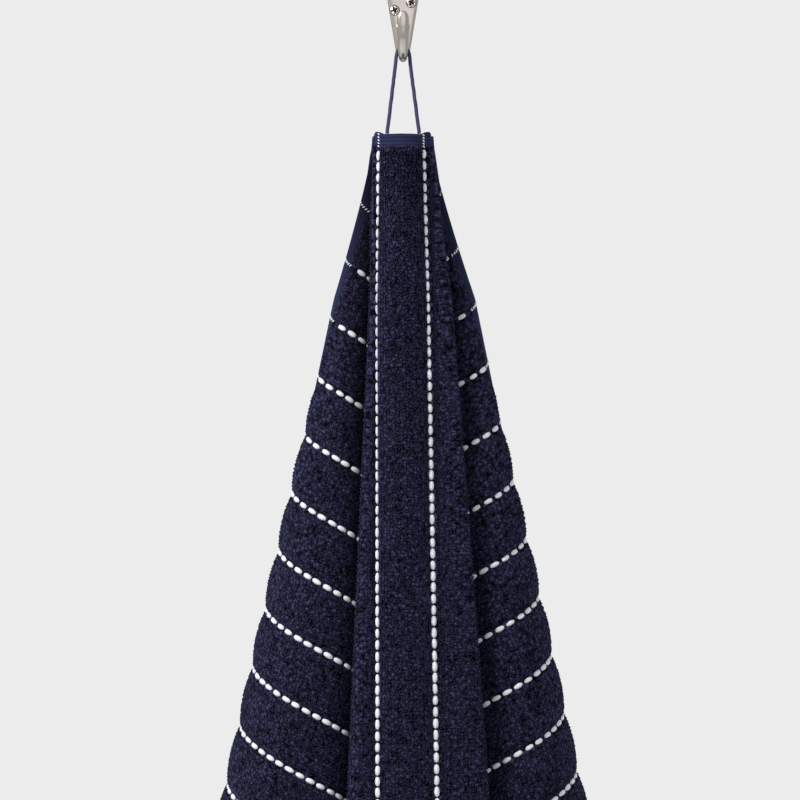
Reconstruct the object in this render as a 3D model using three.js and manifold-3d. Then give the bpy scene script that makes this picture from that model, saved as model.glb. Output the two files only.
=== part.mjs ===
// Bath towel of terry cloth, hung by the cord loop in the middle of its long hem from a plain wall hook.
// Millimetres, +Z up. The wall is the plane y = 0, the towel hangs in front of it on the -Y side, and the
// origin is on the wall behind the middle of the hook's plate, straight above the middle of the towel.
import * as THREE from 'three';
import { mergeVertices } from 'three/addons/utils/BufferGeometryUtils.js';
import Module from 'manifold-3d';

const wasm = await Module();
wasm.setup();

// Towel, as cut and hemmed
const STRIPE_PITCH = 38.1;
const TOWEL_LENGTH = 36 * STRIPE_PITCH;
const TOWEL_WIDTH = 20 * STRIPE_PITCH;
const HEM_WIDTH = 9.5;
const HEM_HALF = 1.0;
const PILE_HALF = 2.0;
const GROOVE_HALF = 1.2;
const HEM_SHARE = 0.024;

// How it hangs: all heights are below the top hem, which lies HEM_DROP under the origin
const HEM_DROP = 83;
const CORD_SPACE = 28;
const SHEAR = 0.29;
const SHEAR_FADE = 0.45;
const REFERENCE_RADIUS = 424;
const LEVELS = [0, 110, REFERENCE_RADIUS, 1000];
const TOP_EASE = 1.2;

// Hook: a plate that tapers from a broad round end down to a narrow one, and an arm cast in one with it,
// which bends out, down and up again into a prong. Each row of ARM is one oval section along the arm.
const PLATE = { topRadius: 11, topHeight: 13, footRadius: 4.6, footHeight: -26.5, thick: 3 };
const ARM = [
  { forward: 1.6, up: -10, wide: 9, thick: 6 },
  { forward: 9, up: -14, wide: 8.2, thick: 7 },
  { forward: 20, up: -22.5, wide: 7, thick: 7 },
  { forward: 30, up: -30.4, wide: 6, thick: 7 },
  { forward: 38.5, up: -33.1, wide: 5.4, thick: 7 },
  { forward: 46, up: -29.4, wide: 6.4, thick: 6.6 },
  { forward: 50, up: -22.5, wide: 7.2, thick: 5.6 },
  { forward: 51.6, up: -15, wide: 7.6, thick: 4.8 },
  { forward: 52.2, up: -9, wide: 7.4, thick: 4.2 },
  { forward: 52.5, up: -6.2, wide: 5, thick: 3 },
];
const ARM_STEPS = 27;
const ARM_SIDES = 16;
const SCREW = { head: 3.5, rise: 2.2, shank: 2.0, hole: 2.35, apart: 11, slope: 2.5, height: 2.8, seat: 0.3 };
const SEAT_GAP = 0.3;

// Loop: a cord sewn into the hem at both ends and led up over the hook's bowl
const CORD_RADIUS = 1.15;
const CORD_SIDES = 8;
const CORD_TOP = -27.95;
const BOWL_FORWARD = 38.5;
const LOOP_ENDS = { left: 0.193, right: 0.834 };
const LOOP_LEFT = [
  { out: -8.7, up: -70 },
  { out: -7.1, up: -57 },
  { out: -5.65, up: -45 },
  { out: -4.75, up: -37.5 },
  { out: -4.3, up: -33.2 },
  { out: -3.2, up: -29.3 },
];
const LOOP_RIGHT = [
  { out: 3.2, up: -29.3 },
  { out: 4.3, up: -33.2 },
  { out: 4.7, up: -37.5 },
  { out: 5.6, up: -45 },
  { out: 7.2, up: -57 },
  { out: 8.9, up: -70 },
];
const LOOP_STEPS = 44;

// Front strip between the two folds, bowed forward most at the top: sag is its rise over its edges
const STRIP_SAG = [
  { level: 0, sag: 13 },
  { level: 110, sag: 7.5 },
  { level: 424, sag: 3 },
  { level: 1000, sag: 3 },
];
const STRIP_STEPS = 4;

// One half of the towel from the front strip out to the hem, as it is pleated. Each row is a fold or a run
// of cloth, and gives its distance from the middle plane (out) and its depth towards the viewer (near) at
// each of LEVELS, measured along the cloth from the top corner. steps is how finely that bend is cut.
const LEFT_FRONT = [
  { run: 'front_edge', out: [16.6, 18.2, 18.3, 19.7], near: [0, 17, 62, 92], steps: 0 },
  { run: 'front_run', out: [17.2, 19.5, 24.4, 37.4], near: [-0.6, 17.5, 62.5, 92], steps: 1 },
  { run: 'front_fold', out: [17.8, 21.2, 32, 55], near: [-1.6, 17, 61.5, 91], steps: 2 },
  { run: 'front_return', out: [17.8, 21.2, 32, 55], near: [-4.6, 10.5, 50, 76], steps: 2 },
  { run: 'under_run', out: [14, 14, 20, 30], near: [-5, 10.4, 50, 76], steps: 1 },
  { run: 'under_end', out: [8, 4.6, 4.4, 5], near: [-5, 10.4, 50, 76], steps: 2 },
];
const RIGHT_FRONT = [
  { run: 'front_edge', out: [16, 19.8, 26, 34], near: [0, 17, 60, 90], steps: 0 },
  { run: 'front_run', out: [16.8, 24, 40, 60], near: [-0.6, 17.5, 60.5, 90], steps: 1 },
  { run: 'front_fold', out: [17.3, 28.8, 52, 86], near: [-1.6, 16.5, 59, 88], steps: 2 },
  { run: 'front_return', out: [17.3, 28.8, 52, 86], near: [-5.2, 9.8, 47, 74], steps: 2 },
  { run: 'under_run', out: [14, 18, 30, 44], near: [-5.6, 9.8, 48, 75], steps: 1 },
  { run: 'under_end', out: [8, 4.6, 4.4, 5], near: [-5.6, 9.8, 48, 75], steps: 2 },
];

// The slack cloth behind, next to the wall: it runs out in waves and comes back beside itself
const SLACK = {
  waves: 7,
  turn: [8, 4.6, 4.4, 5],
  first: [14, 17.5, 20.5, 38],
  last: [16.5, 30, 88, 176],
  tip: [19, 34, 97, 196],
  depth: [-21, -18.5, -8, 2],
  swing: [0, 0.3, 21, 31],
  gap: [7, 10.6, 15, 26],
  back_turn: [11.2, 11.2, 12.5, 20],
};

const LEFT_WING = [
  { run: 'wing_root', out: [11.2, 11.2, 12.5, 20], near: [-9.2, 2.6, 27, 52], steps: 2 },
  { run: 'wing_valley', out: [15.2, 19, 31, 58], near: [-9.2, 2.4, 26, 52], steps: 1 },
  { run: 'wing_rise', out: [15.7, 23, 44, 92], near: [-9.2, 4, 41, 66], steps: 2 },
  { run: 'wing_crest', out: [16.1, 27.4, 63, 132], near: [-9.2, 5.6, 47, 70], steps: 2 },
  { run: 'wing_shoulder', out: [16.7, 33, 86, 184], near: [-9.4, 4.6, 43, 62], steps: 2 },
  { run: 'wing_side', out: [17, 39.8, 104, 224], near: [-9.6, 0.6, 28, 42], steps: 2 },
  { run: 'outline', out: [17.5, 43.7, 113.6, 246], near: [-9.8, -3.6, 6, 8], steps: 2 },
  { run: 'hem', out: [17.8, 44.1, 108.5, 236], near: [-10, -7, -12, -14], steps: 0 },
];
const RIGHT_WING = [
  { run: 'wing_root', out: [11.2, 11.2, 12.5, 20], near: [-9.2, 2, 31, 56], steps: 2 },
  { run: 'wing_valley', out: [13.2, 20, 43, 82], near: [-9.2, 1.2, 27, 54], steps: 1 },
  { run: 'wing_rise', out: [14.4, 25.6, 58, 114], near: [-9.2, 2.6, 34, 60], steps: 2 },
  { run: 'wing_crest', out: [15.2, 30.4, 75, 152], near: [-9.2, 3.6, 41, 66], steps: 2 },
  { run: 'wing_shoulder', out: [15.6, 36.2, 92, 194], near: [-9.4, 2.8, 38, 58], steps: 2 },
  { run: 'wing_side', out: [15.9, 41.6, 104.8, 228], near: [-9.6, -0.6, 25, 40], steps: 2 },
  { run: 'outline', out: [16.2, 45.4, 113.8, 250], near: [-9.8, -4, 5, 8], steps: 2 },
  { run: 'hem', out: [16.5, 46, 108.8, 240], near: [-10, -7.2, -13, -14], steps: 0 },
];

// Where the front strip ends and where the hem starts to run straight down, as lengths along the hem
const LEFT = { side: -1, strip: 21.5, straight: 51.2, front: LEFT_FRONT, wing: LEFT_WING };
const RIGHT = { side: 1, strip: 24, straight: 58.6, front: RIGHT_FRONT, wing: RIGHT_WING };

function atLevel(values, radius) {
  // Value at a length along the cloth: slow to leave the top, then straight between the levels of a row
  let k = 0;
  while (k < LEVELS.length - 2 && radius > LEVELS[k + 1]) k += 1;
  const share = (radius - LEVELS[k]) / (LEVELS[k + 1] - LEVELS[k]);
  return THREE.MathUtils.lerp(values[k], values[k + 1], k === 0 ? share ** TOP_EASE : share);
}

function slackRows() {
  // Rows for the waves out along the wall, the turn at their end, and the waves back beside them
  const shifted = (share) => SLACK.first.map((first, k) => THREE.MathUtils.lerp(first, SLACK.last[k], share));
  const depthAt = (sign, gaps) => SLACK.depth.map((d, k) => d + sign * SLACK.swing[k] + gaps * SLACK.gap[k]);
  const out = [];
  const back = [];
  for (let i = 0; i < SLACK.waves; i += 1) {
    const place = shifted(i / (SLACK.waves - 1));
    const sign = i % 2 === 0 ? -1 : 1;
    out.push({ run: `slack_out_${i}`, out: place, near: depthAt(sign, 0), steps: 1 });
    back.unshift({ run: `slack_back_${i}`, out: place, near: depthAt(sign, 1), steps: 1 });
  }
  const turn = [
    { run: 'slack_tip_wall', out: SLACK.tip, near: depthAt(-0.6, 0), steps: 1 },
    { run: 'slack_tip_front', out: SLACK.tip, near: depthAt(-0.6, 1), steps: 1 },
  ];
  const lead = { run: 'slack_lead', out: SLACK.turn, near: depthAt(0, 0), steps: 1 };
  const finish = { run: 'slack_finish', out: SLACK.back_turn, near: depthAt(0, 1), steps: 1 };
  return [lead, ...out, ...turn, ...back, finish];
}

function bendPoint(rows, bend, share, radius) {
  // Point on the rounded bend at row number `bend`, which runs between the middles of its two neighbours
  const at = (k) => new THREE.Vector2(atLevel(rows[k].out, radius), atLevel(rows[k].near, radius));
  const corner = at(bend);
  const start = bend === 1 ? at(0) : at(bend - 1).add(corner).multiplyScalar(0.5);
  const end = bend === rows.length - 2 ? at(bend + 1) : at(bend + 1).add(corner).multiplyScalar(0.5);
  return new THREE.QuadraticBezierCurve(start, corner, end).getPoint(share);
}

function rulings(half) {
  // Straight lines of cloth that fan out from the top corner, each with its place on the pleats and its
  // angle in the flat cloth: 0 along the front strip, a right angle along the hem
  const rows = [...half.front, ...slackRows(), ...half.wing];
  const marks = [{ bend: 1, share: 0 }];
  for (let bend = 1; bend < rows.length - 1; bend += 1) {
    for (let k = 0; k < rows[bend].steps; k += 1) marks.push({ bend, share: (k + 0.5) / rows[bend].steps });
  }
  marks.push({ bend: rows.length - 2, share: 1 });
  const fine = 8;
  const lengths = [0];
  let last = bendPoint(rows, 1, 0, REFERENCE_RADIUS);
  for (let k = 1; k <= (rows.length - 2) * fine; k += 1) {
    const bend = Math.min(1 + Math.floor(k / fine), rows.length - 2);
    const next = bendPoint(rows, bend, k / fine - (bend - 1), REFERENCE_RADIUS);
    lengths.push(lengths[k - 1] + next.distanceTo(last));
    last = next;
  }
  const total = lengths[lengths.length - 1];
  return marks.map(({ bend, share }) => {
    const place = (bend - 1 + share) * fine;
    const k = Math.min(Math.floor(place), lengths.length - 2);
    const run = THREE.MathUtils.lerp(lengths[k], lengths[k + 1], place - k);
    return { half, rows, bend, share, angle: (Math.PI / 2) * (run / total) };
  });
}

function sagAt(radius) {
  return atLevel(STRIP_SAG.map((row) => row.sag), radius);
}

function sheetPoint(ruling, radius) {
  // Point of the cloth's middle surface: along its ruling, as far from the hem as the cloth is long there
  const { half, rows, bend, share, angle } = ruling;
  const top = bendPoint(rows, bend, share, 0);
  const here = bendPoint(rows, bend, share, radius);
  const lean = Math.cos(angle);
  const length = radius * (1 + SHEAR * lean * Math.exp(-((lean / SHEAR_FADE) ** 2)));
  const fall = Math.sqrt(Math.max(length ** 2 - here.distanceToSquared(top), 0));
  return new THREE.Vector3(half.side * here.x, -CORD_SPACE - here.y, -HEM_DROP - fall);
}

function stripPoint(share, radius) {
  // Point of the front strip, an arc between the two front edges
  const left = bendPoint(LEFT.front, 1, 0, radius);
  const right = bendPoint(RIGHT.front, 1, 0, radius);
  const out = THREE.MathUtils.lerp(-left.x, right.x, share);
  const near = THREE.MathUtils.lerp(left.y, right.y, share) + sagAt(radius) * 4 * share * (1 - share);
  const lift = near - THREE.MathUtils.lerp(0, sagAt(0), 4 * share * (1 - share));
  const fall = Math.sqrt(Math.max(radius ** 2 - lift ** 2, 0));
  return new THREE.Vector3(out, -CORD_SPACE - near, -HEM_DROP - fall);
}

function rowShares(start) {
  // Rows of the sheet as shares of a ruling that starts this far along the hem: the hem's edge, and then the
  // stripes and the bands between them
  const shares = [0, HEM_SHARE];
  for (let k = 4; k <= TOWEL_LENGTH / STRIPE_PITCH; k += 1) {
    shares.push(((k * STRIPE_PITCH) / 2 - start) / (TOWEL_LENGTH / 2 - start));
  }
  return shares;
}

function halfThickness(along, down) {
  // Half the cloth's thickness: thin in the plain hems, full in the pile bands, low in the stripe grooves
  const edge = Math.min(down, TOWEL_WIDTH - down, TOWEL_LENGTH / 2 - Math.abs(along));
  const pile = THREE.MathUtils.smoothstep(edge, HEM_WIDTH * 0.6, HEM_WIDTH * 1.2);
  const band = Math.abs(Math.sin(Math.PI * (along / STRIPE_PITCH + 0.5)));
  return THREE.MathUtils.lerp(HEM_HALF, THREE.MathUtils.lerp(GROOVE_HALF, PILE_HALF, band), pile);
}

function sheetColumns() {
  // Columns of middle points and half thicknesses, from the left hem across the front to the right hem
  const columns = [];
  const addHalf = (half, list) => {
    for (const ruling of list) {
      const across = Math.sin(ruling.angle);
      const downward = Math.cos(ruling.angle);
      const start = THREE.MathUtils.lerp(half.strip, half.straight, ruling.angle / (Math.PI / 2));
      const reach = TOWEL_LENGTH / 2 - start;
      const full = Math.min(reach / Math.max(across, 1e-9), TOWEL_WIDTH / Math.max(downward, 1e-9));
      columns.push(rowShares(start).map((share) => ({
        point: sheetPoint(ruling, share * full),
        half: halfThickness(half.side * (start + share * full * across), share * full * downward),
      })));
    }
  };
  addHalf(LEFT, rulings(LEFT).reverse());
  for (let k = 1; k < STRIP_STEPS; k += 1) {
    const share = k / STRIP_STEPS;
    const along = THREE.MathUtils.lerp(-LEFT.strip, RIGHT.strip, share);
    columns.push(rowShares(THREE.MathUtils.lerp(LEFT.strip, RIGHT.strip, share)).map((row) => ({
      point: stripPoint(share, row * TOWEL_WIDTH),
      half: halfThickness(along, row * TOWEL_WIDTH),
    })));
  }
  addHalf(RIGHT, rulings(RIGHT));
  return columns;
}

function closedSheet(columns) {
  // Front and back faces offset from the middle surface, joined round the hem
  const rows = columns[0].length;
  const middle = (c, r) => columns[THREE.MathUtils.clamp(c, 0, columns.length - 1)][
    THREE.MathUtils.clamp(r, 0, rows - 1)].point;
  const positions = [];
  for (const face of [1, -1]) {
    for (let c = 0; c < columns.length; c += 1) {
      for (let r = 0; r < rows; r += 1) {
        const across = middle(c + 1, r).clone().sub(middle(c - 1, r));
        const down = middle(c, r + 1).clone().sub(middle(c, r - 1));
        const normal = down.cross(across).normalize();
        positions.push(...middle(c, r).clone().addScaledVector(normal, face * columns[c][r].half).toArray());
      }
    }
  }
  const back = columns.length * rows;
  const at = (c, r) => c * rows + r;
  const triangles = [];
  const quad = (a, b, c, d) => triangles.push(a, b, c, a, c, d);
  for (let c = 0; c < columns.length - 1; c += 1) {
    for (let r = 0; r < rows - 1; r += 1) {
      quad(at(c, r), at(c, r + 1), at(c + 1, r + 1), at(c + 1, r));
      quad(back + at(c, r), back + at(c + 1, r), back + at(c + 1, r + 1), back + at(c, r + 1));
    }
    quad(at(c, 0), at(c + 1, 0), back + at(c + 1, 0), back + at(c, 0));
    quad(at(c + 1, rows - 1), at(c, rows - 1), back + at(c, rows - 1), back + at(c + 1, rows - 1));
  }
  const lastColumn = columns.length - 1;
  for (let r = 0; r < rows - 1; r += 1) {
    quad(at(0, r + 1), at(0, r), back + at(0, r), back + at(0, r + 1));
    quad(at(lastColumn, r), at(lastColumn, r + 1), back + at(lastColumn, r + 1), back + at(lastColumn, r));
  }
  const geometry = new THREE.BufferGeometry();
  geometry.setAttribute('position', new THREE.Float32BufferAttribute(positions, 3));
  geometry.setIndex(triangles);
  geometry.computeVertexNormals();
  return geometry;
}

function armSolid() {
  // Oval sections along the arm's line, their breadth and thickness smooth between the rows of ARM
  const line = new THREE.SplineCurve(ARM.map((row) => new THREE.Vector2(row.forward, row.up)));
  const sizes = new THREE.SplineCurve(ARM.map((row) => new THREE.Vector2(row.wide, row.thick)));
  const positions = [];
  for (let k = 0; k <= ARM_STEPS; k += 1) {
    const centre = line.getPoint(k / ARM_STEPS);
    const ahead = line.getTangent(k / ARM_STEPS);
    const size = sizes.getPoint(k / ARM_STEPS);
    for (let j = 0; j < ARM_SIDES; j += 1) {
      const turn = (2 * Math.PI * j) / ARM_SIDES;
      const across = (size.x / 2) * Math.cos(turn);
      const over = (size.y / 2) * Math.sin(turn);
      positions.push(across, -(centre.x - over * ahead.y), centre.y + over * ahead.x);
    }
  }
  const triangles = [];
  for (let k = 0; k < ARM_STEPS; k += 1) {
    for (let j = 0; j < ARM_SIDES; j += 1) {
      const a = k * ARM_SIDES + j;
      const b = k * ARM_SIDES + ((j + 1) % ARM_SIDES);
      triangles.push(a, b, b + ARM_SIDES, a, b + ARM_SIDES, a + ARM_SIDES);
    }
  }
  const end = ARM_STEPS * ARM_SIDES;
  for (let j = 1; j < ARM_SIDES - 1; j += 1) {
    triangles.push(0, j + 1, j, end, end + j, end + j + 1);
  }
  const geometry = new THREE.BufferGeometry();
  geometry.setAttribute('position', new THREE.Float32BufferAttribute(positions, 3));
  geometry.setIndex(triangles);
  return geometry;
}

function plateSolid() {
  // Flat plate with its back on the wall: two round ends and the straight sides that touch both
  const taper = Math.asin((PLATE.topRadius - PLATE.footRadius) / (PLATE.topHeight - PLATE.footHeight));
  const outline = new THREE.Shape();
  outline.absarc(0, PLATE.topHeight, PLATE.topRadius, -taper, Math.PI + taper, false);
  outline.absarc(0, PLATE.footHeight, PLATE.footRadius, Math.PI + taper, 2 * Math.PI - taper, false);
  const geometry = new THREE.ExtrudeGeometry(outline, { depth: PLATE.thick, bevelEnabled: false, curveSegments: 12 });
  geometry.rotateX(Math.PI / 2);
  return geometry;
}

function screwPlace(side) {
  return new THREE.Vector3((side * SCREW.apart) / 2, 0, SCREW.height + side * SCREW.slope);
}

function solidOf(geometry) {
  const bare = geometry.clone();
  bare.deleteAttribute('normal');
  bare.deleteAttribute('uv');
  const welded = mergeVertices(bare, 1e-4);
  return new wasm.Manifold(new wasm.Mesh({
    numProp: 3,
    vertProperties: new Float32Array(welded.attributes.position.array),
    triVerts: new Uint32Array(welded.index.array),
  }));
}

function geometryOf(solid) {
  const mesh = solid.getMesh();
  const geometry = new THREE.BufferGeometry();
  geometry.setAttribute('position', new THREE.Float32BufferAttribute(mesh.vertProperties, 3));
  geometry.setIndex(Array.from(mesh.triVerts));
  geometry.computeVertexNormals();
  return geometry;
}

function hookGeometry() {
  let hook = solidOf(plateSolid()).add(solidOf(armSolid()));
  for (const side of [-1, 1]) {
    const hole = new THREE.CylinderGeometry(SCREW.hole, SCREW.hole, 4 * PLATE.thick, 20);
    hole.translate(...screwPlace(side).toArray());
    hook = hook.subtract(solidOf(hole));
  }
  return geometryOf(hook);
}

function screwGeometry() {
  // Domed head with a straight shank, its axis along +Y into the wall and its head's seat at y = 0
  const profile = [
    new THREE.Vector2(0, PLATE.thick - SEAT_GAP),
    new THREE.Vector2(SCREW.shank, PLATE.thick - SEAT_GAP),
    new THREE.Vector2(SCREW.shank, 0),
    new THREE.Vector2(SCREW.head, 0),
  ];
  for (const share of [0.3, 0.6, 0.85, 1]) {
    const turn = (share * Math.PI) / 2;
    profile.push(new THREE.Vector2(SCREW.head * Math.cos(turn), -SCREW.rise * Math.sin(turn)));
  }
  profile[profile.length - 1].x = 0;
  return new THREE.LatheGeometry(profile.reverse(), 20);
}

function loopEnd(share) {
  return stripPoint(share, 0).add(new THREE.Vector3(0, 0, SEAT_GAP));
}

function loopGeometry() {
  const start = loopEnd(LOOP_ENDS.left);
  const finish = loopEnd(LOOP_ENDS.right);
  const hung = (row, end) => {
    const share = (row.up - end.z) / (CORD_TOP - end.z);
    return new THREE.Vector3(row.out, THREE.MathUtils.lerp(end.y, -BOWL_FORWARD, share), row.up);
  };
  const path = new THREE.CatmullRomCurve3([
    start,
    ...LOOP_LEFT.map((row) => hung(row, start)),
    new THREE.Vector3(0, -BOWL_FORWARD, CORD_TOP),
    ...LOOP_RIGHT.map((row) => hung(row, finish)),
    finish,
  ]);
  const section = new THREE.Shape();
  for (let k = 0; k < CORD_SIDES; k += 1) {
    const turn = (2 * Math.PI * k) / CORD_SIDES;
    const corner = [CORD_RADIUS * Math.cos(turn), CORD_RADIUS * Math.sin(turn)];
    if (k === 0) section.moveTo(...corner);
    else section.lineTo(...corner);
  }
  section.closePath();
  return new THREE.ExtrudeGeometry(section, { steps: LOOP_STEPS, extrudePath: path, bevelEnabled: false });
}

const terry = new THREE.MeshStandardMaterial({ color: 0x1b1f3d, roughness: 1, metalness: 0 });
const braid = new THREE.MeshStandardMaterial({ color: 0x35375f, roughness: 0.9, metalness: 0 });
const nickel = new THREE.MeshStandardMaterial({ color: 0xcfcac2, roughness: 0.3, metalness: 1 });

function namedMesh(name, geometry, material) {
  const mesh = new THREE.Mesh(geometry, material);
  mesh.name = name;
  return mesh;
}

const hung = new THREE.Group();
hung.add(namedMesh('towel', closedSheet(sheetColumns()), terry));
hung.add(namedMesh('loop', loopGeometry(), braid));
hung.add(namedMesh('hook', hookGeometry(), nickel));
for (const [name, side] of [['screw_left', -1], ['screw_right', 1]]) {
  const screw = namedMesh(name, screwGeometry(), nickel);
  screw.position.copy(screwPlace(side)).setY(-PLATE.thick - SCREW.seat);
  hung.add(screw);
}

export default hung;
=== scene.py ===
import bpy
import bmesh
import numpy as np
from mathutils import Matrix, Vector


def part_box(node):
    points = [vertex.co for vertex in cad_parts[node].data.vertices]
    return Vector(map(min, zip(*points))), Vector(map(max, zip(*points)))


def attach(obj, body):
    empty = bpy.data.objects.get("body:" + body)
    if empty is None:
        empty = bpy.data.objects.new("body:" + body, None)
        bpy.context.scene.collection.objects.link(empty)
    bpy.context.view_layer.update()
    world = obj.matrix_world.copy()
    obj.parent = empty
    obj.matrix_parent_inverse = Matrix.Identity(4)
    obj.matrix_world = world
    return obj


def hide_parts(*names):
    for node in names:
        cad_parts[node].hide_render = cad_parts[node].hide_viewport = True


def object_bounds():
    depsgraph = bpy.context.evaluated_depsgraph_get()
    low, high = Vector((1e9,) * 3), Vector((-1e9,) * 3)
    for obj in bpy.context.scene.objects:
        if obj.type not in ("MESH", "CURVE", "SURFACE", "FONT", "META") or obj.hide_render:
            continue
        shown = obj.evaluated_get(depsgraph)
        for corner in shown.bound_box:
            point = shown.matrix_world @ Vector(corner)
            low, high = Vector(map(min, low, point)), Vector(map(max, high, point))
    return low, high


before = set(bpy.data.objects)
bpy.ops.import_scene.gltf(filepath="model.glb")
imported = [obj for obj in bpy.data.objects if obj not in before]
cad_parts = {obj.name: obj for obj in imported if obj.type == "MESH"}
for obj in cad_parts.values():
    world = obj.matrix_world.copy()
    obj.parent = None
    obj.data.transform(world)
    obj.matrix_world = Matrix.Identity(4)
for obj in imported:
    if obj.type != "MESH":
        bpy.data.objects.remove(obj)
cad_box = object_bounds()

# Camera. The photograph is taken level and square to the wall from about two and a half metres, so the
# long lens looks straight along +Y at the middle of the folds.
CAMERA_AT = (-0.0019, -2.58, -0.2548)
SENSOR_WIDTH = 36.0
FRAME_WIDTH, FRAME_AWAY = 0.508, 2.5
camera_data = bpy.data.cameras.new("camera")
camera_data.sensor_width = SENSOR_WIDTH
camera_data.lens = SENSOR_WIDTH * FRAME_AWAY / FRAME_WIDTH
camera_data.clip_end = 50.0
camera = bpy.data.objects.new("camera", camera_data)
camera.location = CAMERA_AT
camera.rotation_euler = (np.pi / 2, 0.0, 0.0)
bpy.context.scene.collection.objects.link(camera)
bpy.context.scene.camera = camera

# Hook. A plain wall hook of cast zinc with satin nickel plating: a plate against the wall that tapers from
# a broad round end to a narrow one, and an arm that runs out and down from it and turns up into a prong.
PLATE_TOP_RADIUS, PLATE_TOP_HEIGHT = 11.0, 13.0
PLATE_FOOT_RADIUS, PLATE_FOOT_HEIGHT = 4.6, -26.5
# The plate's section from the wall, round its edge and up its slightly crowned face: step in, and depth
PLATE_INSET = [4.59, 3, 0.5, 0.12, 0, 0, 0.07, 0.22, 0.5, 0.85, 1.3, 2.2, 4.59]
PLATE_DEPTH = [0, 0, 0, 0.15, 0.5, 1.5, 1.86, 2.12, 2.34, 2.48, 2.6, 2.76, 3]
ARM = {
    "forward": [1.6, 9, 20, 30, 38.5, 46, 50, 51.6, 52.2, 52.5],
    "up": [-10, -14, -22.5, -30.4, -33.1, -29.4, -22.5, -15, -9, -6.2],
    "wide": [9, 8.2, 7, 6, 5.4, 6.4, 7.2, 7.6, 7.4, 5],
    "thick": [6, 7, 7, 7, 7, 6.6, 5.6, 4.8, 4.2, 3],
}
ARM_TIP_LONG, ARM_TIP_POINT, ARM_SQUARE = 1.3, 0.002, 0.86
WELD = 0.01
NICKEL_LOW, NICKEL_HIGH = (0.6, 0.56, 0.51, 1), (0.74, 0.7, 0.65, 1)


def grid_faces(across, along, wrap=False):
    """Quads of a grid with `across` points in its fast direction; wrap joins the last column to the first."""
    columns = np.arange(across if wrap else across - 1)
    a = (np.arange(along - 1)[:, None] * across + columns).ravel()
    b = (np.arange(along - 1)[:, None] * across + (columns + 1) % across).ravel()
    return np.stack([a, b, b + across, a + across], axis=1)


def smooth_line(points, count):
    """Uniform Catmull-Rom curve through the rows of `points`, end rows used twice, at `count` even steps."""
    points = np.asarray(points, float)
    place = np.linspace(0, len(points) - 1, count)
    k = np.minimum(place.astype(int), len(points) - 2)
    t = (place - k)[:, None]
    p0, p1 = points[np.maximum(k - 1, 0)], points[k]
    p2, p3 = points[k + 1], points[np.minimum(k + 2, len(points) - 1)]
    v1, v2 = (p2 - p0) / 2, (p3 - p1) / 2
    return (2 * p1 - 2 * p2 + v1 + v2) * t**3 + (3 * p2 - 3 * p1 - 2 * v1 - v2) * t**2 + v1 * t + p1


def close_shell(mesh, weld=0.0):
    """All faces turned outward; before that, points closer than weld joined and empty faces dropped."""
    shell = bmesh.new()
    shell.from_mesh(mesh)
    if weld:
        bmesh.ops.remove_doubles(shell, verts=shell.verts, dist=weld / 1000.0)
        bmesh.ops.dissolve_degenerate(shell, edges=shell.edges, dist=weld / 1000.0)
    bmesh.ops.recalc_face_normals(shell, faces=shell.faces)
    shell.to_mesh(mesh)
    shell.free()


def make_piece(name, points_mm, faces, material, weld=0.0):
    """Mesh object from points in millimetres, smooth shaded, in the CAD frame and riding on the one body."""
    mesh = bpy.data.meshes.new(name)
    mesh.from_pydata((np.asarray(points_mm) / 1000.0).tolist(), [], np.asarray(faces).tolist())
    if weld:
        close_shell(mesh, weld)
    mesh.polygons.foreach_set("use_smooth", np.ones(len(mesh.polygons), bool))
    mesh.materials.append(material)
    mesh.update()
    piece = bpy.data.objects.new(name, mesh)
    bpy.context.scene.collection.objects.link(piece)
    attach(piece, "root")
    return piece


def nodes_of(material):
    """Node tree of a fresh material with its shader, and a short way to add and link further nodes."""
    material.use_nodes = True
    tree = material.node_tree
    shader = tree.nodes["Principled BSDF"]

    def add(kind, links=(), **values):
        node = tree.nodes.new(kind)
        for key, value in values.items():
            if hasattr(node, key):
                setattr(node, key, value)
            else:
                node.inputs[key].default_value = value
        for source, socket in links:
            tree.links.new(source, node.inputs[socket])
        return node

    return tree, shader, add


def arm_points(sides=40, steps=120, cap=10):
    """Oval sections carried along the arm's line; the last shrink on a quarter circle into a round tip."""
    rows = smooth_line(np.stack([ARM[k] for k in ("forward", "up", "wide", "thick")], axis=1), steps)
    ahead = np.gradient(rows[:, :2], axis=0)
    ahead /= np.linalg.norm(ahead, axis=1)[:, None]
    turn = np.linspace(0, np.pi / 2, cap + 1)[1:, None]
    tip = np.repeat(rows[-1:], cap, axis=0)
    tip[:, :2] += ARM_TIP_LONG * np.sin(turn) * ahead[-1]
    tip[:, 2:] *= np.maximum(np.cos(turn), ARM_TIP_POINT)
    rows = np.concatenate([rows, tip])
    ahead = np.concatenate([ahead, np.repeat(ahead[-1:], cap, axis=0)])
    angle = np.linspace(0, 2 * np.pi, sides, endpoint=False)
    round_off = lambda x: np.sign(x) * np.abs(x) ** ARM_SQUARE
    across = rows[:, 2:3] / 2 * round_off(np.cos(angle))
    over = rows[:, 3:4] / 2 * round_off(np.sin(angle))
    y = -(rows[:, 0:1] - over * ahead[:, 1:2])
    z = rows[:, 1:2] + over * ahead[:, 0:1]
    return np.stack([across, y, z], axis=2).reshape(-1, 3), grid_faces(sides, len(rows), wrap=True)


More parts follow.
